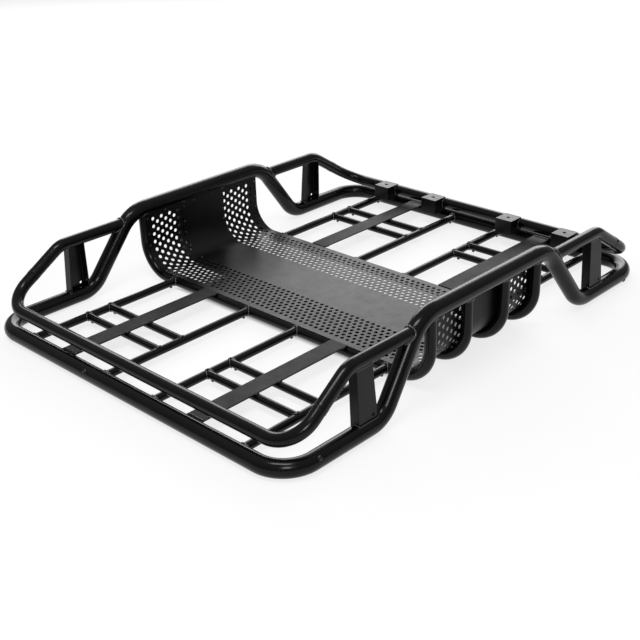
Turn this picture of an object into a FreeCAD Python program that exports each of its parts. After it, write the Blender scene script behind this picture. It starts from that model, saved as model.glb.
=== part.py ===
import FreeCAD, Part
import math
import os

# Vehicle roof cargo basket of welded round tube, in millimetres.
# X runs across the vehicle with plus X on its left, Y runs along it with
# minus Y at the front end, Z is up and zero where the low tubes rest.

# Overall sizes of the finished basket
overall_length = 1270.0
overall_width = 986.0
overall_height = 207.0

# Round tube sizes, outside diameter
main_tube = 38.1
upper_tube = 28.6
hoop_tube = 25.4
bar_tube = 19.05
cross_tube = 18.0

# Side rails: a low run at each end and a raised run in the middle
rail_lean = 11.2            # top run sits this much further in than the low runs
crown_length = 446.6        # between the upper bend corners, along Y
foot_length = 704.8         # between the lower bend corners, along Y
crown_bend = 92.0           # centre line radius of the upper bends
foot_bend = 68.0            # centre line radius of the lower bends
corner_bend = 72.0          # centre line radius of the four plan corners
end_tube_leg = 24.0         # straight left on an end tube after its corner

# Upper tubes: a bow across each end and a short rail on each side of it
upper_drop = 23.3           # upper side rail below the crown, centre to centre
bow_rise = 44.3             # bow above the end tube, centre to centre
bow_inset = 23.9            # bow inside the end tube, centre to centre
upper_bend_setback = 180.9  # upper bend corner in from the end tube
bow_corner_bend = 66.0
upper_bend = 58.0
bow_seam_share = 0.5        # where the slope is split between bow and side rail

# Hoops that carry the pan
hoop_inset = 1.25           # leg centre line in from the crown centre line
hoop_bend = 80.0
outer_hoop_spacing = 372.0  # between the first and the last hoop, along Y
inner_hoop_spacing = 132.0  # between the two middle hoops, along Y

# Cargo pan, one sheet rolled up at both sides
pan_sheet = 1.5
pan_overhang = 2.0          # sheet past the outer hoop centre lines
pan_hole = 9.0              # across the flats of a hole, drawn with six sides
hole_pitch = 16.0           # along a row of the floor
wall_hole_pitch = 20.7      # along a row where the sheet is rolled up
row_pitch = 13.6            # between rows, every other row shifted half a pitch
rows_per_band = 8
band_margin = 6.5           # first row of a band past the middle hoop centre line
rim_margin = 16.0           # last hole of a row below the crown tube

# Deck at each end: bars along Y, short tubes across and a flat strip
inner_bar_spacing = 160.0   # between the two middle bars
outer_bar_inset = 124.95    # outer bars in from the low runs, centre to centre
bar_lift = 2.2              # bar centre above the hoop centre
cross_gap = 65.0            # between the two cross tubes, centre to centre
cross_setback = 191.0       # middle of the pair in from the end tube
strip_width = 46.0
strip_sheet = 3.0
strip_spacing = 424.0       # between the two strips of one end
strip_gap = 0.5             # clear of the pan edge

# Posts: folded channels between the low runs and the upper side rails
post_top_width = 44.0
post_foot_width = 55.0
post_depth = 22.0
post_sheet = 2.5
post_offset = 8.0           # outer face outside the tube centre plane
front_post_reach = 45.6     # post middle beyond the lower bend corner
rear_post_reach = 69.6
post_hole = 7.0
post_hole_shift = 15.0      # hole towards plus Y from the post middle
post_hole_rise = 28.0       # hole above the low tube centre

# Rear light brackets, open boxes with a hole in the top
bracket_width = 50.0
bracket_depth = 46.0
bracket_height = 40.0
bracket_sheet = 2.5
bracket_hole = 9.0
inner_bracket_spacing = 254.0
outer_bracket_spacing = 600.0

# Sizes that follow from the ones above
cope = 0.35                 # a coped end stops this share of the radius short of the axis
main_r = main_tube / 2
upper_r = upper_tube / 2
hoop_r = hoop_tube / 2
bar_r = bar_tube / 2
cross_r = cross_tube / 2
low_z = main_r
crown_z = overall_height - main_r
half_x = overall_width / 2 - main_r
half_y = overall_length / 2 - main_r
crown_y = crown_length / 2
foot_y = foot_length / 2
bow_z = low_z + bow_rise
bow_y = half_y - bow_inset
upper_z = crown_z - upper_drop
upper_y = half_y - upper_bend_setback
hoop_z = low_z
hoop_x = half_x - rail_lean - hoop_inset
hoop_ys = [-outer_hoop_spacing / 2, -inner_hoop_spacing / 2, inner_hoop_spacing / 2, outer_hoop_spacing / 2]
deck_z = hoop_z + hoop_r
inner_bar_x = inner_bar_spacing / 2
outer_bar_x = half_x - outer_bar_inset
bar_z = hoop_z + bar_lift
cross_z = deck_z - cross_r
pan_y = outer_hoop_spacing / 2 + pan_overhang


def vec(x, y, z):
    return FreeCAD.Vector(x, y, z)


# X of the leaning side plane at height z
def lean_x(z):
    return half_x - rail_lean * (z - low_z) / (crown_z - low_z)


# Round tube along a path of straight runs joined by round bends
def bent_tube(points, bends, diameter):
    radius = diameter / 2
    pieces = []
    start = points[0]
    for corner, after, bend in zip(points[1:-1], points[2:], bends):
        run_in = (corner - start).normalize()
        run_out = (after - corner).normalize()
        turn = run_in.getAngle(run_out)
        reach = bend * math.tan(turn / 2)
        begin = corner - run_in * reach
        axis = run_in.cross(run_out).normalize()
        middle = begin + axis.cross(run_in).normalize() * bend
        pieces.append(Part.makeCylinder(radius, (begin - start).Length, start, run_in))
        ring = Part.Face(Part.Wire(Part.makeCircle(radius, begin, run_in)))
        pieces.append(ring.revolve(middle, axis, math.degrees(turn)))
        start = corner + run_out * reach
    last = (points[-1] - start)
    pieces.append(Part.makeCylinder(radius, last.Length, start, last))
    tube = pieces[0]
    if len(pieces) > 1:
        tube = tube.multiFuse(pieces[1:])
    return one_solid(tube)


# Largest solid of a shape, so a cut leaves no scraps behind
def one_solid(shape):
    return max(shape.Solids, key=lambda solid: solid.Volume)


def block(x0, x1, y0, y1, z0, z1):
    return Part.makeBox(x1 - x0, y1 - y0, z1 - z0, vec(x0, y0, z0))


nodes = {}

# Side rails, left is plus X
joint_y = half_y - corner_bend - end_tube_leg
for name, side in (("left", 1), ("right", -1)):
    path = [vec(side * half_x, -joint_y, low_z), vec(side * half_x, -foot_y, low_z),
            vec(side * lean_x(crown_z), -crown_y, crown_z), vec(side * lean_x(crown_z), crown_y, crown_z),
            vec(side * half_x, foot_y, low_z), vec(side * half_x, joint_y, low_z)]
    nodes[name + "_side_rail"] = bent_tube(path, [foot_bend, crown_bend, crown_bend, foot_bend], main_tube)

# End tubes with the four plan corners, butted to the side rails
for name, end in (("front", -1), ("rear", 1)):
    path = [vec(half_x, end * joint_y, low_z), vec(half_x, end * half_y, low_z),
            vec(-half_x, end * half_y, low_z), vec(-half_x, end * joint_y, low_z)]
    nodes[name + "_end_tube"] = bent_tube(path, [corner_bend, corner_bend], main_tube)

# Upper bows and the short side rails that carry on from them
for end_name, end in (("front", -1), ("rear", 1)):
    seams = {}
    corners = {}
    for side in (1, -1):
        corners[side] = vec(side * lean_x(bow_z), end * bow_y, bow_z)
        top = vec(side * lean_x(upper_z), end * upper_y, upper_z)
        seams[side] = corners[side] + (top - corners[side]) * bow_seam_share
        slope_y = foot_y - (foot_y - crown_y) * (upper_z - low_z) / (crown_z - low_z)
        inner = vec(side * lean_x(upper_z), end * (slope_y + cope * main_r), upper_z)
        rail = bent_tube([seams[side], top, inner], [upper_bend], upper_tube)
        side_name = "left" if side == 1 else "right"
        rail = one_solid(rail.cut(nodes[side_name + "_side_rail"]))
        nodes[end_name + "_" + side_name + "_upper_rail"] = rail
    path = [seams[1], corners[1], corners[-1], seams[-1]]
    nodes[end_name + "_upper_bow"] = bent_tube(path, [bow_corner_bend, bow_corner_bend], upper_tube)

# Hoops under the pan, their legs coped to the crown of the side rails
leg_top = crown_z - cope * main_r
for number, y in enumerate(hoop_ys, 1):
    path = [vec(hoop_x, y, leg_top), vec(hoop_x, y, hoop_z),
            vec(-hoop_x, y, hoop_z), vec(-hoop_x, y, leg_top)]
    hoop = bent_tube(path, [hoop_bend, hoop_bend], hoop_tube)
    hoop = one_solid(hoop.cut(nodes["left_side_rail"]).cut(nodes["right_side_rail"]))
    nodes["pan_hoop_%d" % number] = hoop


# Closed outline of the pan section, offset in from the hoop centre line
def pan_outline(inset):
    x = hoop_x - inset
    z = hoop_z + inset
    r = hoop_bend - inset
    k = r * (1 - math.sqrt(0.5))
    right = [vec(x, 0, leg_top), vec(x, 0, z + r), vec(x - k, 0, z + k), vec(x - r, 0, z)]
    left = [vec(-p.x, 0, p.z) for p in right]
    return [Part.makeLine(right[0], right[1]), Part.Arc(right[1], right[2], right[3]).toShape(),
            Part.makeLine(right[3], left[3]), Part.Arc(left[3], left[2], left[1]).toShape(),
            Part.makeLine(left[1], left[0])], right[0], left[0]


# Cargo pan: the section run along Y, its top edges coped under the crowns
outer, outer_start, outer_end = pan_outline(hoop_r)
inner, inner_start, inner_end = pan_outline(hoop_r + pan_sheet)
rims = [Part.makeLine(outer_end, inner_end), Part.makeLine(inner_start, outer_start)]
section = Part.Wire(Part.__sortEdges__(outer + inner + rims))
pan = Part.Face(section).extrude(vec(0, 2 * pan_y, 0))
pan.translate(vec(0, -pan_y, 0))
pan = one_solid(pan.cut(nodes["left_side_rail"]).cut(nodes["right_side_rail"]))


# Six-sided punch across the sheet at a point of its middle, facing along a normal
def punch(point, normal):
    across = vec(0, 1, 0)
    along = normal.cross(across)
    reach = pan_hole / math.sqrt(3)
    start = point - normal * pan_sheet
    turns = [math.radians(60 * step) for step in range(7)]
    ring = [start + across * (reach * math.cos(t)) + along * (reach * math.sin(t)) for t in turns]
    return Part.Face(Part.makePolygon(ring)).extrude(normal * 2 * pan_sheet)


# Place and normal on the middle of the sheet, a distance out from the centre line
def on_sheet(distance, side):
    flat = hoop_x - hoop_bend
    middle = hoop_bend - hoop_r - pan_sheet / 2
    rolled = max(0, min(distance - flat, middle * math.pi / 2))
    angle = rolled / middle
    x = min(distance, flat) + middle * math.sin(angle)
    z = hoop_z + hoop_bend - middle * math.cos(angle) + max(0, distance - flat - middle * math.pi / 2)
    return side * x, z, vec(-side * math.sin(angle), 0, math.cos(angle))


# Two bands of staggered holes, each row punched from the centre line out to both rims
flat_half = hoop_x - hoop_bend
rolled_half = (hoop_bend - hoop_r - pan_sheet / 2) * math.pi / 2
rim = flat_half + rolled_half + crown_z - main_r - rim_margin - hoop_z - hoop_bend
punches = []
for band in (-1, 1):
    for row in range(rows_per_band):
        y = band * (inner_hoop_spacing / 2 + band_margin + row * row_pitch)
        shift = ((row + (band > 0)) % 2) / 2
        floor_count = int(flat_half / hole_pitch)
        places = [(place + shift) * hole_pitch for place in range(floor_count)]
        start = floor_count * hole_pitch
        wall_count = int((rim - start) / wall_hole_pitch)
        places += [start + (place + shift) * wall_hole_pitch for place in range(wall_count + 1)]
        for place in places:
            for side in (1, -1):
                if place > 0 or side == 1:
                    x, z, normal = on_sheet(place, side)
                    punches.append(punch(vec(x, y, z), normal))
nodes["cargo_pan"] = one_solid(pan.cut(Part.makeCompound(punches)))

# Deck bars along Y, coped to the end tube and to the nearest outer hoop
bar_rows = (("outer_left", outer_bar_x), ("inner_left", inner_bar_x),
            ("inner_right", -inner_bar_x), ("outer_right", -outer_bar_x))
for end_name, end, hoop_name in (("front", -1, "pan_hoop_1"), ("rear", 1, "pan_hoop_4")):
    y_out = half_y - cope * main_r
    y_in = outer_hoop_spacing / 2 + cope * hoop_r
    for row, x in bar_rows:
        bar = Part.makeCylinder(bar_r, y_out - y_in, vec(x, end * y_in, bar_z), vec(0, end, 0))
        bar = bar.cut(nodes[end_name + "_end_tube"]).cut(nodes[hoop_name])
        nodes[end_name + "_" + row + "_bar"] = one_solid(bar)

# Pairs of cross tubes between an inner and an outer bar, for the roof clamps
for end_name, end in (("front", -1), ("rear", 1)):
    for side_name, side in (("left", 1), ("right", -1)):
        x_in = inner_bar_x + cope * bar_r
        x_out = outer_bar_x - cope * bar_r
        pair = []
        for shift in (-cross_gap / 2, cross_gap / 2):
            y = end * (half_y - cross_setback + shift)
            tube = Part.makeCylinder(cross_r, x_out - x_in, vec(side * x_in, y, cross_z), vec(side, 0, 0))
            for row in ("inner_", "outer_"):
                tube = tube.cut(nodes[end_name + "_" + row + side_name + "_bar"])
            pair.append(one_solid(tube))
        nodes[end_name + "_" + side_name + "_cross_tubes"] = Part.makeCompound(pair)

# Flat strips on top of the cross tubes, from the end tube to the outer hoop
for end_name, end in (("front", -1), ("rear", 1)):
    for side_name, side in (("left", 1), ("right", -1)):
        x = side * strip_spacing / 2
        ends = sorted((end * (half_y - cope * main_r), end * (pan_y + strip_gap)))
        x0, x1 = x - strip_width / 2, x + strip_width / 2
        strip = block(x0, x1, ends[0], ends[1], deck_z, deck_z + strip_sheet)
        nodes[end_name + "_" + side_name + "_strip"] = one_solid(strip.cut(nodes[end_name + "_end_tube"]))


# Solid between two like trapezoids in the leaning plane of a side
def post_solid(side, y, top_width, foot_width, face, back, z0, z1):
    quads = []
    for inset in (face, back):
        corners = [vec(side * (lean_x(z) + inset), y + half, z)
                   for z, half in ((z0, -foot_width / 2), (z0, foot_width / 2),
                                   (z1, top_width / 2), (z1, -top_width / 2))]
        quads.append(Part.makePolygon(corners + corners[:1]))
    return Part.makeLoft(quads, True)


# Posts: a folded channel, open inwards, coped to the low run and the upper side rail
for end_name, end, reach in (("front", -1, front_post_reach), ("rear", 1, rear_post_reach)):
    for side_name, side in (("left", 1), ("right", -1)):
        y = end * (foot_y + reach)
        z0 = low_z + cope * main_r
        z1 = upper_z - cope * upper_r
        wall = 2 * post_sheet
        back = post_offset - post_depth
        post = post_solid(side, y, post_top_width, post_foot_width, post_offset, back, z0, z1)
        hollow = post_solid(side, y, post_top_width - wall, post_foot_width - wall,
                            post_offset - post_sheet, back - post_sheet, z0, z1)
        hole = vec(side * (half_x - post_sheet), y + post_hole_shift, low_z + post_hole_rise)
        drill = Part.makeCylinder(post_hole / 2, 4 * post_sheet + post_offset, hole, vec(side, 0, 0))
        post = post.cut(hollow).cut(drill).cut(nodes[side_name + "_side_rail"])
        post = post.cut(nodes[end_name + "_" + side_name + "_upper_rail"])
        nodes[end_name + "_" + side_name + "_post"] = one_solid(post)

# Rear light brackets, seated on the rear bow
bracket_rows = (("outer_left", outer_bracket_spacing / 2), ("inner_left", inner_bracket_spacing / 2),
                ("inner_right", -inner_bracket_spacing / 2), ("outer_right", -outer_bracket_spacing / 2))
for row, x in bracket_rows:
    top = bow_z + upper_r + bracket_sheet
    x0, x1 = x - bracket_width / 2, x + bracket_width / 2
    y0, y1 = bow_y - bracket_depth, bow_y
    box = block(x0, x1, y0, y1, top - bracket_height, top)
    hollow = block(x0 + bracket_sheet, x1 - bracket_sheet, y0 + bracket_sheet, y1 + bracket_sheet,
                   top - bracket_height - bracket_sheet, top - bracket_sheet)
    middle = vec(x, (y0 + y1) / 2, top - 1.5 * bracket_sheet)
    drill = Part.makeCylinder(bracket_hole / 2, 2 * bracket_sheet, middle)
    nodes[row + "_light_bracket"] = one_solid(box.cut(hollow).cut(drill).cut(nodes["rear_upper_bow"]))

os.makedirs("parts", exist_ok=True)
for name, shape in nodes.items():
    shape.exportStep("parts/%s.step" % name)
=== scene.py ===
import bpy
import bmesh
import math
import numpy as np
from mathutils import Matrix


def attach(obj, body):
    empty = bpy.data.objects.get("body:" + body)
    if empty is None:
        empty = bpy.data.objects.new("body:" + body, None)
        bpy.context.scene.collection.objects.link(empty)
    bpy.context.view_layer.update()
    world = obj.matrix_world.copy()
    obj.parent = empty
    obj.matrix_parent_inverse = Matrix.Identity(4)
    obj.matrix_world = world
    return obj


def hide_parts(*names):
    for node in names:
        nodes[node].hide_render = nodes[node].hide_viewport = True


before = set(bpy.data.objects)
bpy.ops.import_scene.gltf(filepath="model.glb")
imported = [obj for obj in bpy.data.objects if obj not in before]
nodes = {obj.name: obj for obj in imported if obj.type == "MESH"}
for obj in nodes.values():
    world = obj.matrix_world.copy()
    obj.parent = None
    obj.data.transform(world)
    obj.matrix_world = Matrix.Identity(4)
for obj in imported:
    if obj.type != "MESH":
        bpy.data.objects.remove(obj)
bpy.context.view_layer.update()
scene = bpy.context.scene
scene.view_settings.view_transform = "Standard"
mm = 0.001
print("frame loaded,", len(nodes), "nodes")

# Centre lines and radii of the tube frame, mm, the same values as the solids have
rack = {
    "mainR": 19.05, "upperR": 14.3, "hoopR": 12.7, "barR": 9.525, "crossR": 9.0,
    "halfX": 473.95, "halfY": 615.95, "lowZ": 19.05, "crownZ": 187.95, "lean": 11.2,
    "crownY": 223.3, "footY": 352.4,
    "bowZ": 63.35, "bowY": 592.05, "upperZ": 164.65, "upperY": 435.05,
    "hoopX": 461.5, "hoopBend": 80.0, "hoopYs": (-186.0, -66.0, 66.0, 186.0),
    "barX": (349.0, 80.0, -80.0, -349.0), "barZ": 21.25,
    "crossZ": 22.75, "crossYs": (392.45, 457.45), "deckZ": 31.75,
    "stripX": 212.0, "stripWidth": 46.0, "stripSheet": 3.0,
}


def leanX(z):  # the sides lean in: X of the side plane at height z
    return rack["halfX"] - rack["lean"] * (z - rack["lowZ"]) / (rack["crownZ"] - rack["lowZ"])


# Mesh helpers


def unit(v):
    v = np.asarray(v, float)
    return v / np.linalg.norm(v, axis=-1, keepdims=True)


def crossAxes(axis):  # two unit directions square to an axis and to each other
    axis = unit(axis)
    side = unit(np.cross(axis, [0, 0, 1.0] if abs(axis[2]) < 0.9 else [1.0, 0, 0]))
    return side, np.cross(axis, side)


def gridFaces(rows, cols):  # quads of a grid of points, row by row
    first = np.arange(rows - 1)[:, None] * cols + np.arange(cols - 1)
    return np.stack([first, first + 1, first + cols + 1, first + cols], -1).reshape(-1, 4)


def joinParts(parts):  # several point and face arrays as one
    starts = np.cumsum([0] + [len(p) for p, f in parts[:-1]])
    return np.concatenate([p for p, f in parts]), np.concatenate([f + s for (p, f), s in zip(parts, starts)])


def addPiece(name, points, faces, material, slotName, sharp=35.0):
    mesh = bpy.data.meshes.new(name)
    mesh.vertices.add(len(points))
    mesh.vertices.foreach_set("co", (np.asarray(points, float) * mm).ravel())
    mesh.loops.add(faces.size)
    mesh.loops.foreach_set("vertex_index", faces.astype(np.int32).ravel())
    mesh.polygons.add(len(faces))
    mesh.polygons.foreach_set("loop_start", np.arange(0, faces.size, faces.shape[1], dtype=np.int32))
    mesh.update(calc_edges=True)
    mesh.validate()
    work = bmesh.new()
    work.from_mesh(mesh)
    bmesh.ops.remove_doubles(work, verts=work.verts, dist=2e-6)
    bmesh.ops.recalc_face_normals(work, faces=work.faces)
    work.to_mesh(mesh)
    work.free()
    mesh.polygons.foreach_set("use_smooth", np.ones(len(mesh.polygons), bool))
    mesh.set_sharp_from_angle(angle=math.radians(sharp))
    mesh.materials.append(material)
    piece = bpy.data.objects.new(name, mesh)
    scene.collection.objects.link(piece)
    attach(piece, "root")
    print("made", name, len(mesh.polygons), "faces")
    return piece


# Materials


def hexLinear(code):  # sRGB to linear: c / 12.92 when dark, else ((c + 0.055) / 1.055) to the power 2.4
    c = np.array([int(code[i:i + 2], 16) for i in (1, 3, 5)]) / 255
    return tuple(np.where(c <= 0.04045, c / 12.92, ((c + 0.055) / 1.055) ** 2.4)) + (1.0,)


def addNode(tree, kind, settings=None, links=None):
    node = tree.nodes.new(kind)
    for key, value in (settings or {}).items():
        if isinstance(key, int) or key in node.inputs:
            node.inputs[key].default_value = value
        else:
            setattr(node, key, value)
    for key, source in (links or {}).items():
        tree.links.new(source, node.inputs[key])
    return node


# Powder-coated mild steel: sprayed dry, baked and flowed out to a satin black skin. The eye sees a soft
# streak along each tube, a faint orange peel in it, and duller rubbed patches where it has been handled.
# Sizes of the peel, its depth and the rounding of an edge are in mm.
coats = {
    "powder_coated_tube": {
        "dark": "#030303", "pale": "#0a0a0b", "smooth": 0.15, "dull": 0.25, "shine": 0.19,
        "peel": 3.2, "depth": 0.05, "edge": 0.6,
    },
    "powder_coated_sheet": {
        "dark": "#060607", "pale": "#0e0e0f", "smooth": 0.34, "dull": 0.44, "shine": 0.17,
        "peel": 2.2, "depth": 0.04, "edge": 0.5,
    },
    "powder_coated_flat": {
        "dark": "#030303", "pale": "#0a0a0a", "smooth": 0.28, "dull": 0.4, "shine": 0.2,
        "peel": 2.4, "depth": 0.04, "edge": 2.4,
    },
    # Strips: the same black coat with its base colour painted lighter, a painted sheen for the lamps'
    # reflection on them; their duller gloss is real roughness
    "powder_coated_strip_painted_sheen": {
        "dark": "#1a1a1b", "pale": "#262627", "smooth": 0.52, "dull": 0.64, "shine": 0.12,
        "peel": 2.4, "depth": 0.04, "edge": 1.2,
    },
    "powder_coated_weld": {
        "dark": "#070708", "pale": "#141415", "smooth": 0.08, "dull": 0.2, "shine": 0.75,
        "peel": 1.6, "depth": 0.06, "edge": 0.3,
    },
}
coatPattern = {"mottle": 70.0, "scuff": 26.0, "rub": 4.0}  # mm across a patch, a scuffed place and a rub mark


def addNoise(tree, place, size, detail, rough=0.5):  # noise whose blotches are about size mm across
    settings = {"Scale": 1 / (size * mm), "Detail": detail, "Roughness": rough}
    return addNode(tree, "ShaderNodeTexNoise", settings, {"Vector": place})


def addMath(tree, operation, first, second):  # one sum of two values, each a number or a socket
    given = {key: value for key, value in enumerate((first, second)) if isinstance(value, float)}
    wired = {key: value for key, value in enumerate((first, second)) if not isinstance(value, float)}
    return addNode(tree, "ShaderNodeMath", {"operation": operation, **given}, wired).outputs["Value"]


def addRamp(tree, value, low, high):  # colours at two places of a value, each a place and a hex code
    ramp = addNode(tree, "ShaderNodeValToRGB", None, {"Fac": value})
    for element, (position, code) in zip(ramp.color_ramp.elements, (low, high)):
        element.position = position
        element.color = hexLinear(code)
    return ramp.outputs["Color"]


def powderCoat(name):
    look = coats[name]
    material = bpy.data.materials.new(name)
    material.use_nodes = True
    tree = material.node_tree
    tree.nodes.clear()
    place = addNode(tree, "ShaderNodeTexCoord").outputs["Object"]
    mottle = addNoise(tree, place, coatPattern["mottle"], 3.0)
    scuff = addNoise(tree, place, coatPattern["scuff"], 4.0, 0.6)
    rub = addNoise(tree, place, coatPattern["rub"], 2.0)
    rubbed = addMath(tree, "MULTIPLY", scuff.outputs["Fac"], rub.outputs["Fac"])
    tint = addRamp(tree, mottle.outputs["Fac"], (0.3, look["dark"]), (0.75, look["pale"]))
    span = {"From Min": 0.14, "From Max": 0.42, "To Min": look["smooth"], "To Max": look["dull"]}
    gloss = addNode(tree, "ShaderNodeMapRange", span, {"Value": rubbed})
    # Orange peel is drawn a little coarser than the real one so that it shows
    peel = addNoise(tree, place, look["peel"], 1.5)
    # Powder pulls back from a folded edge and leaves it rounder than the steel: the radius is in mm
    fold = addNode(tree, "ShaderNodeBevel", {"samples": 6, "Radius": look["edge"] * mm})
    bump = addNode(tree, "ShaderNodeBump", {"Strength": 0.35, "Distance": look["depth"] * mm},
                   {"Height": peel.outputs["Fac"], "Normal": fold.outputs["Normal"]})
    wires = {"Base Color": tint, "Roughness": gloss.outputs["Result"], "Normal": bump.outputs["Normal"]}
    settings = {"IOR": 1.5, "Specular IOR Level": look["shine"]}
    shader = addNode(tree, "ShaderNodeBsdfPrincipled", settings, wires)
    addNode(tree, "ShaderNodeOutputMaterial", None, {"Surface": shader.outputs["BSDF"]})
    return material


tubeCoat, sheetCoat, flatCoat, stripCoatPaintedSheen, weldCoat = [powderCoat(name) for name in coats]

# Zinc-plated steel screws under a thin black finish: rolled thread blanks with a bright worn rim
screwLook = {"dark": "#242426", "bright": "#8c8e92", "patch": 3.0, "smooth": 0.24, "dull": 0.42}


def blackenedZinc(name):
    material = bpy.data.materials.new(name)
    material.use_nodes = True
    tree = material.node_tree
    tree.nodes.clear()
    place = addNode(tree, "ShaderNodeTexCoord").outputs["Object"]
    wear = addNoise(tree, place, screwLook["patch"], 3.0).outputs["Fac"]
    tint = addRamp(tree, wear, (0.45, screwLook["dark"]), (0.8, screwLook["bright"]))
    span = {"To Min": screwLook["smooth"], "To Max": screwLook["dull"]}
    gloss = addNode(tree, "ShaderNodeMapRange", span, {"Value": wear})
    bump = addNode(tree, "ShaderNodeBump", {"Strength": 0.2, "Distance": 0.03 * mm}, {"Height": wear})
    wires = {"Base Color": tint, "Roughness": gloss.outputs["Result"], "Normal": bump.outputs["Normal"]}
    shader = addNode(tree, "ShaderNodeBsdfPrincipled", {"Metallic": 1.0}, wires)
    addNode(tree, "ShaderNodeOutputMaterial", None, {"Surface": shader.outputs["BSDF"]})
    return material


screwZinc = blackenedZinc("blackened_zinc_screw")
slotCoats = {"tube": tubeCoat, "sheet": sheetCoat, "flat_steel": flatCoat}
for name, node in nodes.items():
    for index, old in enumerate(node.data.materials):
        coat = slotCoats[old.name.split(".")[0]]
        # The strips take the coat whose lighter base colour is a painted sheen
        node.data.materials[index] = stripCoatPaintedSheen if "strip" in name else coat
print("materials set")

# Cargo pan: one rolled sheet with two punched bands
pan = {
    "gauge": 1.5, "edge": 188.0, "rimZ": 178.0,
    "hole": 9.4, "floorPitch": 16.0, "wallPitch": 20.7, "floorCells": 23, "lastCell": 32,
    "rowPitch": 13.6, "rows": 8, "firstRow": 72.5,
}


# Sheet coordinate to place: flat out to the roll, then an arc of the roll's radius, then straight up.
# Returns the middle of the sheet and its inner normal for a signed distance from the centre line.
def onSheet(s):
    side, d = np.sign(s), np.abs(s)
    flat = rack["hoopX"] - rack["hoopBend"]
    r = rack["hoopBend"] - rack["hoopR"] - pan["gauge"] / 2
    angle = np.clip((d - flat) / r, 0, np.pi / 2)
    x = np.minimum(d, flat) + r * np.sin(angle)
    z = rack["lowZ"] + rack["hoopBend"] - r * np.cos(angle) + np.maximum(d - flat - r * np.pi / 2, 0)
    return side * x, z, -side * np.sin(angle), np.cos(angle)


# Hole column to sheet coordinate: the floor's pitch near the middle, the wall's pitch past the floor cells
def columnToSheet(c):
    onFloor = np.minimum(np.abs(c), pan["floorCells"])
    onWall = np.abs(c) - onFloor
    return np.sign(c) * (onFloor * pan["floorPitch"] + onWall * pan["wallPitch"])


# Developed sheet as quads: a grid of quarter columns and half rows, each hole a ring of twelve quads
# between its cell's outline and a circle, then both skins half a gauge off the middle, joined by walls.
def panSheet():
    rollR = rack["hoopBend"] - rack["hoopR"] - pan["gauge"] / 2
    wallStart = rollR * np.pi / 2 + rack["hoopX"] - rack["hoopBend"]
    rimS = wallStart + pan["rimZ"] - rack["lowZ"] - rack["hoopBend"]
    last = pan["lastCell"] * 4
    columns = np.concatenate([[-rimS], columnToSheet(np.arange(-last, last + 1) / 4), [rimS]])
    half = pan["rowPitch"] / 2
    band = pan["firstRow"] - half + np.arange(2 * pan["rows"] + 1) * half
    lines = np.concatenate([[-pan["edge"]], -band[::-1], [-band[0] / 2, 0, band[0] / 2], band, [pan["edge"]]])
    cols, rows = len(columns), len(lines)
    flatPoints = np.stack(np.meshgrid(columns, lines), -1).reshape(-1, 2)
    plain = np.ones((rows - 1, cols - 1), bool)
    rings, ringStart, flatHoles = [], rows * cols, []
    middleCol = last + 1
    turns = np.radians(np.arange(12) * 30)
    outline = np.array([(2, 0), (2, 1), (1, 1), (0, 1), (-1, 1), (-2, 1)])
    outline = np.concatenate([outline, -outline])  # the cell's twelve outline points, anticlockwise
    for bandStart, step in ((1 + 2 * pan["rows"], -1), (2 * pan["rows"] + 5, 1)):
        for row in range(pan["rows"]):
            line = bandStart + step * (2 * row + 1)
            shift = 2 * ((row + (step > 0)) % 2)  # every other row is half a pitch over
            centres = np.arange(-last + 4 - shift, last - 3 + shift, 4)
            plain[line - 1:line + 1, middleCol + centres[0] - 2:middleCol + centres[-1] + 2] = False
            centre = np.stack([columnToSheet(centres / 4), np.full(len(centres), lines[line])], -1)
            circle = centre[:, None, :] + pan["hole"] / 2 * np.stack([np.cos(turns), np.sin(turns)], -1)
            flatHoles.append(circle.reshape(-1, 2))
            cell = (line + outline[:, 1]) * cols + middleCol + centres[:, None] + outline[:, 0]
            ring = ringStart + np.arange(len(centres) * 12).reshape(-1, 12)
            ringStart += ring.size
            quads = np.stack([ring, cell, np.roll(cell, -1, 1), np.roll(ring, -1, 1)], -1)
            rings.append(quads.reshape(-1, 4))
    grid = gridFaces(rows, cols)[plain.ravel()]
    faces = np.concatenate([grid] + rings)
    sheet = np.concatenate([flatPoints] + flatHoles)
    used, faces = np.unique(faces, return_inverse=True)
    faces = faces.reshape(-1, 4)
    sheet = sheet[used]
    x, z, nx, nz = onSheet(sheet[:, 0])
    middle = np.stack([x, sheet[:, 1], z], -1)
    normal = np.stack([nx, np.zeros_like(x), nz], -1) * pan["gauge"] / 2
    edges = np.stack([faces, np.roll(faces, -1, 1)], -1).reshape(-1, 2)
    key = np.sort(edges, 1)
    same, counts = np.unique(key, axis=0, return_inverse=True, return_counts=True)[1:]
    rim = edges[counts[same.ravel()] == 1]
    n = len(sheet)
    walls = np.stack([rim[:, 1], rim[:, 0], rim[:, 0] + n, rim[:, 1] + n], -1)
    points = np.concatenate([middle + normal, middle - normal])
    return points, np.concatenate([faces, faces[:, ::-1] + n, walls])


panPoints, panFaces = panSheet()
panPiece = addPiece("cargo_pan_sheet", panPoints, panFaces, sheetCoat, "sheet")
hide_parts("cargo_pan")

# Weld beads
weld = {
    "lift": 0.5, "ripple": 3.4, "depth": 0.13, "around": 8, "perRipple": 4, "sharp": 60,
    "radius": 2.3, "crossRadius": 2.0, "railRadius": 2.6, "postRadius": 1.9,
}


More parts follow.
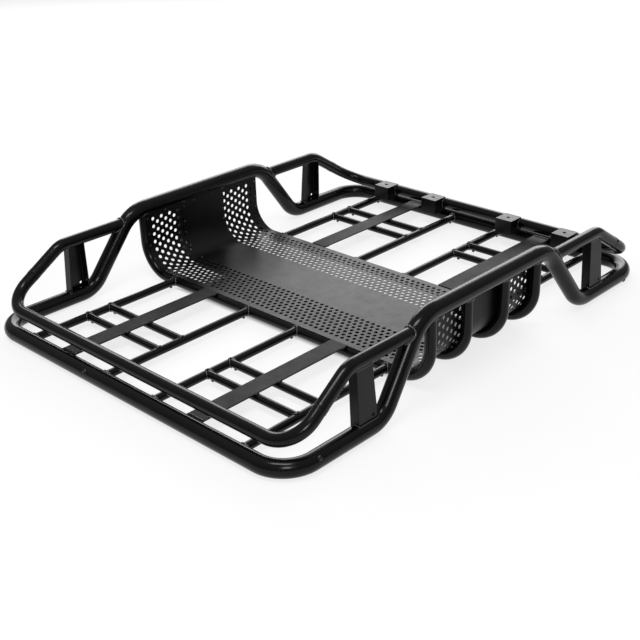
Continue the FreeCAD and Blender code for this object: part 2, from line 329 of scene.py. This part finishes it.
# Bead along a line: a ripple-swollen circle carried along the points, its radius one plus a sine of the
# distance run; an open bead tapers to nothing at both ends.
def beadAlong(points, outward, closed, radius):
    ahead = np.roll(points, -1, 0) - points
    length = np.linalg.norm(ahead if closed else ahead[:-1], axis=1).sum()
    ripples = max(int(length / weld["ripple"]), 3)
    count = ripples * weld["perRipple"] + 1
    track = np.concatenate([points, points[:1]]) if closed else points
    out = np.concatenate([outward, outward[:1]]) if closed else outward
    run = np.concatenate([[0], np.cumsum(np.linalg.norm(np.diff(track, axis=0), axis=1))])
    at = np.linspace(0, run[-1], count)
    centre = np.stack([np.interp(at, run, track[:, k]) for k in range(3)], -1)
    out = np.stack([np.interp(at, run, out[:, k]) for k in range(3)], -1)
    tangent = np.gradient(centre, axis=0)
    if closed:
        tangent[[0, -1]] = centre[1] - centre[-2]
    tangent = unit(tangent)
    out = unit(out - tangent * (out * tangent).sum(1, keepdims=True))
    across = np.cross(tangent, out)
    swell = radius * (1 + weld["depth"] * np.sin(2 * np.pi * ripples * at / run[-1]))
    if not closed:
        swell = swell * np.sqrt(np.clip(np.minimum(at, run[-1] - at) / radius, 0, 1))
    turn = np.linspace(0, 2 * np.pi, weld["around"] + 1)
    section = np.cos(turn)[None, :, None] * out[:, None] + np.sin(turn)[None, :, None] * across[:, None]
    grid = (centre + out * weld["lift"])[:, None] + swell[:, None, None] * section
    return grid.reshape(-1, 3), gridFaces(count, weld["around"] + 1)


# Saddle line of a small tube meeting a big one: each line along the small tube is followed until its
# distance from the big tube's axis is the big radius, the root of a quadratic.
def saddle(bigPoint, bigAxis, bigRadius, smallPoint, smallAxis, smallRadius, radius=None):
    angle = np.linspace(0, 2 * np.pi, 64, endpoint=False)
    u, v = crossAxes(smallAxis)
    a, d = unit(bigAxis), unit(smallAxis)
    radial = np.cos(angle)[:, None] * u + np.sin(angle)[:, None] * v
    start = np.asarray(smallPoint, float) + smallRadius * radial
    w = start - np.asarray(bigPoint, float)
    w = w - (w @ a)[:, None] * a
    e = d - (d @ a) * a
    qa, qb, qc = e @ e, w @ e, (w * w).sum(1) - bigRadius ** 2
    t = (-qb - np.sqrt(np.maximum(qb * qb - qa * qc, 0))) / qa
    bigOut = unit(w + t[:, None] * e)
    return beadAlong(start + t[:, None] * d, unit(bigOut + radial), True, radius or weld["radius"])


deckWelds = []
for end in (-1, 1):
    hoopY = rack["hoopYs"][0 if end < 0 else 3]
    for x in rack["barX"]:
        middle = (x, end * 400, rack["barZ"])
        endTube = ((0, end * rack["halfY"], rack["lowZ"]), (1, 0, 0), rack["mainR"])
        hoop = ((0, hoopY, rack["lowZ"]), (1, 0, 0), rack["hoopR"])
        deckWelds.append(saddle(*endTube, middle, (0, end, 0), rack["barR"]))
        deckWelds.append(saddle(*hoop, middle, (0, -end, 0), rack["barR"]))
    for side in (-1, 1):
        for y in rack["crossYs"]:
            middle = (side * rack["stripX"], end * y, rack["crossZ"])
            for x, toward in ((rack["barX"][1], -side), (rack["barX"][0], side)):
                bar = ((side * x, 0, rack["barZ"]), (0, 1, 0), rack["barR"])
                deckWelds.append(saddle(*bar, middle, (toward, 0, 0), rack["crossR"], weld["crossRadius"]))
addPiece("deck_weld_beads", *joinParts(deckWelds), weldCoat, "tube", weld["sharp"])

hoopWelds = []
for side in (-1, 1):
    for y in rack["hoopYs"]:
        hoopWelds.append(saddle((side * leanX(rack["crownZ"]), 0, rack["crownZ"]), (0, 1, 0), rack["mainR"],
                                (side * rack["hoopX"], y, 120.0), (0, 0, 1), rack["hoopR"]))
addPiece("hoop_weld_beads", *joinParts(hoopWelds), weldCoat, "tube", weld["sharp"])

railWelds = []
for side in (-1, 1):
    for end in (-1, 1):
        low = np.array([side * rack["halfX"], end * rack["footY"], rack["lowZ"]])
        top = np.array([side * leanX(rack["crownZ"]), end * rack["crownY"], rack["crownZ"]])
        start = (side * leanX(rack["upperZ"]), end * 420.0, rack["upperZ"])
        slope = (low, top - low, rack["mainR"])
        railWelds.append(saddle(*slope, start, (0, -end, 0), rack["upperR"], weld["railRadius"]))
addPiece("rail_weld_beads", *joinParts(railWelds), weldCoat, "tube", weld["sharp"])

# Post welds: a U of web and two flanges seen in plan, its height read off the round tube it stands on
post = {"top": 44.0, "foot": 55.0, "face": 8.0, "back": -14.0, "frontY": 398.0, "rearY": 422.0}


# Plan points on a tube along Y: height is the axis plus or minus the root of radius squared less offset
# squared
def onTube(offset, y, axisX, axisZ, radius, up):
    rise = np.sqrt(np.maximum(radius ** 2 - offset ** 2, 0))
    out = np.stack([offset, np.zeros_like(offset), up * rise], -1) / radius
    return np.stack([axisX + offset, y, axisZ + up * rise], -1), out


postWelds = []
for side in (-1, 1):
    for middleY in (-post["frontY"], post["rearY"]):
        for z, radius, width, up in ((rack["lowZ"], rack["mainR"], post["foot"], 1),
                                     (rack["upperZ"], rack["upperR"], post["top"], -1)):
            t = np.linspace(0, 1, 24)
            reach = min(-post["back"], radius * 0.97)
            flange = -reach + (reach + post["face"]) * t
            offset = side * np.concatenate([flange, np.full(24, post["face"]), flange[::-1]])
            y = middleY + width / 2 * np.concatenate([np.full(24, -1.0), 2 * t - 1, np.full(24, 1.0)])
            line, out = onTube(offset, y, side * leanX(z), z, radius, up)
            outward = unit(out + np.array([side * 0.4, 0, 0.0]))
            postWelds.append(beadAlong(line, outward, False, weld["postRadius"]))
addPiece("post_weld_beads", *joinParts(postWelds), weldCoat, "flat_steel", weld["sharp"])

# Bracket welds: an arc of each side wall on the bow, and a run along the top plate's back edge
bracket = {
    "xs": (300.0, 127.0, -127.0, -300.0), "width": 50.0, "arc": (100, 250),
    "sideBead": 1.5, "backBead": 1.6,
}
bracketWelds = []
for x in bracket["xs"]:
    for edge in (-1, 1):
        a = np.radians(np.linspace(*bracket["arc"], 30))
        out = np.stack([np.zeros_like(a), np.cos(a), np.sin(a)], -1)
        line = np.array([x + edge * bracket["width"] / 2, rack["bowY"], rack["bowZ"]]) + rack["upperR"] * out
        outward = unit(out + np.array([edge * 0.8, 0, 0]))
        bracketWelds.append(beadAlong(line, outward, False, bracket["sideBead"]))
    t = np.linspace(-0.48, 0.48, 24)
    backY, backZ = rack["bowY"] + 1.0, rack["bowZ"] + rack["upperR"] + 0.6
    line = np.stack([x + t * bracket["width"], np.full(24, backY), np.full(24, backZ)], -1)
    bracketWelds.append(beadAlong(line, np.tile([0.0, 0.7, 0.7], (24, 1)), False, bracket["backBead"]))
addPiece("bracket_weld_beads", *joinParts(bracketWelds), weldCoat, "flat_steel", weld["sharp"])

# Strip tacks: short beads where a strip's edges cross the cross tubes and at both its ends
tack = {"half": 5.5, "bead": 1.5, "panY": 200.0, "endY": 601.2}
stripTacks = []
for end in (-1, 1):
    for side in (-1, 1):
        for edge in (-1, 1):
            x = side * rack["stripX"] + edge * rack["stripWidth"] / 2
            for y in rack["crossYs"] + (tack["panY"],):
                t = np.linspace(-tack["half"], tack["half"], 8)
                line = np.stack([np.full(8, x), end * y + t, np.full(8, rack["deckZ"] + 0.4)], -1)
                outward = np.tile([edge * 0.8, 0.0, 0.6], (8, 1))
                stripTacks.append(beadAlong(line, outward, False, tack["bead"]))
        t = np.linspace(-0.47, 0.47, 24) * rack["stripWidth"]
        stripTop = rack["deckZ"] + rack["stripSheet"]
        endY = np.full(24, end * tack["endY"])
        line = np.stack([side * rack["stripX"] + t, endY, np.full(24, stripTop)], -1)
        stripTacks.append(beadAlong(line, np.tile([0.0, -end * 0.6, 0.8], (24, 1)), False, tack["bead"]))
addPiece("strip_tack_welds", *joinParts(stripTacks), weldCoat, "flat_steel", weld["sharp"])
print("welds done")

# Turned heads: a profile of heights and radii swung round an axis; rows marked six are a hexagon, whose
# radius is half the flats over the cosine of the angle from the nearest flat
heads = {
    "button": ((0.7, 0, 0), (0.7, 1.6, 6), (2.0, 1.7, 6), (2.1, 2.2, 0), (1.7, 3.5, 0),
               (1.0, 4.4, 0), (0.2, 4.8, 0), (-1.0, 4.8, 0), (-1.0, 0, 0)),
    "rivet": ((1.5, 0, 0), (1.4, 1.2, 0), (1.0, 2.3, 0), (0.3, 2.9, 0), (-0.5, 3.0, 0), (-0.5, 0, 0)),
    "domeNut": ((5.6, 0, 0), (5.4, 1.2, 0), (4.6, 2.4, 0), (3.2, 3.2, 0), (2.6, 3.3, 0),
                (2.5, 3.6, 6), (-1.5, 3.6, 6), (-1.5, 0, 0)),
}


def turnedHeads(kind, spots, around=24):
    rows = np.array(heads[kind], float)
    turn = np.linspace(0, 2 * np.pi, around + 1)
    six = 1 / np.cos((turn + np.pi / 6) % (np.pi / 3) - np.pi / 6)
    radius = rows[:, 1:2] * np.where(rows[:, 2:] == 6, six, 1.0)
    parts = []
    for spot, axis in spots:
        u, v = crossAxes(axis)
        ring = np.cos(turn)[:, None] * u + np.sin(turn)[:, None] * v
        grid = np.asarray(spot, float) + rows[:, 0, None, None] * unit(axis) + radius[..., None] * ring
        parts.append((grid.reshape(-1, 3), gridFaces(len(rows), around + 1)))
    return joinParts(parts)


# Screws of the tube joints, on flanks that keep them inside the tubes' outline: angle up from level in
# degrees, then Y, and for the one on the front face X
jointScrews = {
    "front": (36.0, -541.0), "rear": (-36.0, 547.0), "slope": (24.0, 514.0), "face": (42.0, -117.0),
    "slopeZ": 114.0,
}
jointSpots = []
for side in (-1, 1):
    for kind, z, radius in (("front", rack["lowZ"], rack["mainR"]), ("rear", rack["lowZ"], rack["mainR"]),
                            ("slope", jointScrews["slopeZ"], rack["upperR"])):
        tilt, y = math.radians(jointScrews[kind][0]), jointScrews[kind][1]
        out = np.array([side * math.cos(tilt), 0, math.sin(tilt)])
        jointSpots.append((np.array([side * leanX(z), y, z]) + radius * out, out))
tilt = math.radians(jointScrews["face"][0])
out = np.array([0, -math.cos(tilt), math.sin(tilt)])
faceAxis = np.array([jointScrews["face"][1], -rack["halfY"], rack["lowZ"]])
jointSpots.append((faceAxis + rack["mainR"] * out, out))
addPiece("tube_joint_screws", *turnedHeads("button", jointSpots), screwZinc, "tube", 40)

# Dome nuts under the deck joints
nuts = {"barYs": (207.0, 588.0), "crossXs": (97.0, 332.0)}
nutSpots = []
for end in (-1, 1):
    for x in rack["barX"]:
        for y in nuts["barYs"]:
            nutSpots.append(((x, end * y, rack["barZ"] - rack["barR"]), (0, 0, -1)))
    for side in (-1, 1):
        for y in rack["crossYs"]:
            for x in nuts["crossXs"]:
                nutSpots.append(((side * x, end * y, rack["crossZ"] - rack["crossR"]), (0, 0, -1)))
addPiece("deck_dome_nuts", *turnedHeads("domeNut", nutSpots), tubeCoat, "tube", 40)

# Rivets that hold the pan to its hoops, up each wall and round each roll, and along the crowns
rivets = {
    "along": (392.0, 440.0, 476.0, 506.0, 548.0), "edgeY": 184.0,
    "crownYs": (-126.0, -30.0, 30.0, 126.0), "crown": 556.0,
}
panRivets = []
for y in rack["hoopYs"]:
    for s in rivets["along"]:
        for side in (-1, 1):
            x, z, nx, nz = [float(v) for v in onSheet(np.array(side * s))]
            kept = min(abs(y), rivets["edgeY"]) * np.sign(y)
            spot = np.array([x + nx * pan["gauge"] / 2, kept, z + nz * pan["gauge"] / 2])
            panRivets.append((spot, (nx, 0, nz)))
for y in rivets["crownYs"]:
    for side in (-1, 1):
        x, z, nx, nz = [float(v) for v in onSheet(np.array(side * rivets["crown"]))]
        panRivets.append((np.array([x + nx * pan["gauge"] / 2, y, z]), (nx, 0, nz)))
addPiece("pan_rivets", *turnedHeads("rivet", panRivets, 16), screwZinc, "sheet", 40)

# Seam sleeves on the bow slopes: a low collar, its profile carried round the tube
collar = {
    "share": 0.5,
    "profile": ((-7, -0.2), (-6.6, 0.45), (-0.9, 0.55), (-0.5, 0.05),
                (0.5, 0.05), (0.9, 0.55), (6.6, 0.45), (7, -0.2)),
}
collars = []
for side in (-1, 1):
    for end in (-1, 1):
        low = np.array([side * leanX(rack["bowZ"]), end * rack["bowY"], rack["bowZ"]])
        top = np.array([side * leanX(rack["upperZ"]), end * rack["upperY"], rack["upperZ"]])
        axis = unit(top - low)
        u, v = crossAxes(axis)
        turn = np.linspace(0, 2 * np.pi, 41)
        ring = np.cos(turn)[:, None] * u + np.sin(turn)[:, None] * v
        rows = np.array(collar["profile"], float)
        rows = np.concatenate([rows, rows[:1]])
        out = (rack["upperR"] + rows[:, 1, None, None]) * ring
        grid = low + (top - low) * collar["share"] + rows[:, 0, None, None] * axis + out
        collars.append((grid.reshape(-1, 3), gridFaces(len(rows), 41)))
addPiece("bow_seam_collars", *joinParts(collars), tubeCoat, "tube", 40)
print("fasteners done")

# Camera at the photograph's angle
view = {
    "place": (1.64872, -1.70816, 1.12206), "azimuth": 44.52, "elevation": 26.265, "roll": -1.959,
    "lens": 60.57, "sensor": 36.0,
}
az, el, roll = [math.radians(view[k]) for k in ("azimuth", "elevation", "roll")]
back = np.array([math.sin(az) * math.cos(el), -math.cos(az) * math.cos(el), math.sin(el)])
right = np.array([math.cos(az), math.sin(az), 0.0])
up = np.cross(back, right)
turnedRight = math.cos(roll) * right + math.sin(roll) * up
turnedUp = math.cos(roll) * up - math.sin(roll) * right
cameraData = bpy.data.cameras.new("photo_camera")
cameraData.lens = view["lens"]
cameraData.sensor_width = view["sensor"]
cameraData.clip_end = 100
camera = bpy.data.objects.new("photo_camera", cameraData)
placing = np.eye(4)
placing[:3, :3] = np.stack([turnedRight, turnedUp, back], 1)
placing[:3, 3] = view["place"]
camera.matrix_world = Matrix(placing.tolist())
scene.collection.objects.link(camera)
scene.camera = camera

# Floor, a plain pale sheet of painted board
floorLook = {
    "size": 30.0, "colour": "#f4f4f4", "speck": "#efefef", "grain": 40.0,
    "white": 0.76,  # share of plain white, the rest keeps the shadow
}
floorMesh = bpy.data.meshes.new("studio_floor")
h = floorLook["size"] / 2
floorMesh.from_pydata([(-h, -h, 0), (h, -h, 0), (h, h, 0), (-h, h, 0)], [], [(0, 1, 2, 3)])
floor = bpy.data.objects.new("studio_floor", floorMesh)
floor.location.z = -0.0005
scene.collection.objects.link(floor)
floorPaint = bpy.data.materials.new("matt_painted_board")
floorPaint.use_nodes = True
tree = floorPaint.node_tree
tree.nodes.clear()
place = addNode(tree, "ShaderNodeTexCoord").outputs["Object"]
grain = addNoise(tree, place, floorLook["grain"], 2.0)
tint = addRamp(tree, grain.outputs["Fac"], (0.0, floorLook["speck"]), (1.0, floorLook["colour"]))
# Painted contact shadow under the pan: a dark tone mixed into the floor's colour, full inside the box, gone
# one soft width outside it, the smaller of both axes; each axis has its centre, half width and soft width in
# m
paintedShadowUnderPan = {"X": (0.0, 0.3, 0.06), "Y": (-0.06, 0.115, 0.02), "tone": "#161617"}
spot = addNode(tree, "ShaderNodeSeparateXYZ", None, {"Vector": place})
fades = []
for axis in "XY":
    centre, half, soft = paintedShadowUnderPan[axis]
    away = addMath(tree, "ABSOLUTE", addMath(tree, "SUBTRACT", spot.outputs[axis], centre), 0.0)
    span = {"From Min": half, "From Max": half + soft, "To Min": 1.0, "To Max": 0.0}
    fades.append(addNode(tree, "ShaderNodeMapRange", span, {"Value": away}).outputs["Result"])
# Mask of the painted shadow: one inside the box, falling to nought one soft width outside it
under = addMath(tree, "MINIMUM", *fades)
shaded = addNode(tree, "ShaderNodeMix", {"data_type": "RGBA", 7: hexLinear(paintedShadowUnderPan["tone"])},
                 {0: under, 6: tint})  # 6 and 7 are its two colours, 2 is the mix
board = {"Roughness": 0.9, "Specular IOR Level": 0.1}
shader = addNode(tree, "ShaderNodeBsdfPrincipled", board, {"Base Color": shaded.outputs[2]})
glow = addNode(tree, "ShaderNodeEmission", {"Color": hexLinear("#ffffff"), "Strength": 1.0})
rays = addNode(tree, "ShaderNodeLightPath")
seen = addMath(tree, "MAXIMUM", rays.outputs["Is Camera Ray"], rays.outputs["Is Glossy Ray"])
seen = addMath(tree, "MAXIMUM", seen, rays.outputs["Is Transmission Ray"])
# Under the painted shadow the plain white share is taken away too, so that its dark tone shows
clear = addMath(tree, "SUBTRACT", 1.0, under)
share = addMath(tree, "MULTIPLY", addMath(tree, "MULTIPLY", seen, floorLook["white"]), clear)
wires = {0: share, 1: shader.outputs["BSDF"], 2: glow.outputs["Emission"]}
lit = addNode(tree, "ShaderNodeMixShader", None, wires)
addNode(tree, "ShaderNodeOutputMaterial", None, {"Surface": lit.outputs["Shader"]})
floorMesh.materials.append(floorPaint)

# Soft studio light: a wide box behind for the sheen on the flats, a small one beside the camera for the
# streaks down the slopes, one overhead for the bends, and a room that is paler above than at eye level
lamps = {
    "back_box": {"from": (-2.4, 2.9, 1.75), "to": (0, 0, 0.1), "size": (4.8, 2.2), "radiance": 4.2},
    "near_box": {"from": (2.2, -2.2, 2.0), "to": (0, 0, 0.1), "size": (0.8, 0.8), "radiance": 15.0},
    "top_box": {"from": (0.5, -1.2, 3.4), "to": (0, 0, 0), "size": (1.7, 0.6), "radiance": 15.0},
}
for name, lamp in lamps.items():
    data = bpy.data.lights.new(name, "AREA")
    data.shape = "RECTANGLE"
    data.size, data.size_y = lamp["size"]
    data.energy = lamp["radiance"] * math.pi * lamp["size"][0] * lamp["size"][1]
    box = bpy.data.objects.new(name, data)
    away = unit(np.array(lamp["from"]) - np.array(lamp["to"]))
    across = unit(np.cross([0, 0, 1.0], away)) if abs(away[2]) < 0.99 else np.array([1.0, 0, 0])
    facing = np.eye(4)
    facing[:3, :3] = np.stack([across, np.cross(away, across), away], 1)
    facing[:3, 3] = lamp["from"]
    box.matrix_world = Matrix(facing.tolist())
    scene.collection.objects.link(box)
room = {"low": "#b4b4b6", "high": "#ffffff", "strength": 0.5, "bend": 0.75}
world = bpy.data.worlds.new("pale_room")
world.use_nodes = True
scene.world = world
tree = world.node_tree
tree.nodes.clear()
aim = addNode(tree, "ShaderNodeTexCoord").outputs["Generated"]
height = addNode(tree, "ShaderNodeSeparateXYZ", None, {"Vector": aim})
fade = addRamp(tree, height.outputs["Z"], (0.0, room["low"]), (room["bend"], room["high"]))
glow = addNode(tree, "ShaderNodeBackground", {"Strength": room["strength"]}, {"Color": fade})
addNode(tree, "ShaderNodeOutputWorld", None, {"Surface": glow.outputs["Background"]})
print("stage set")
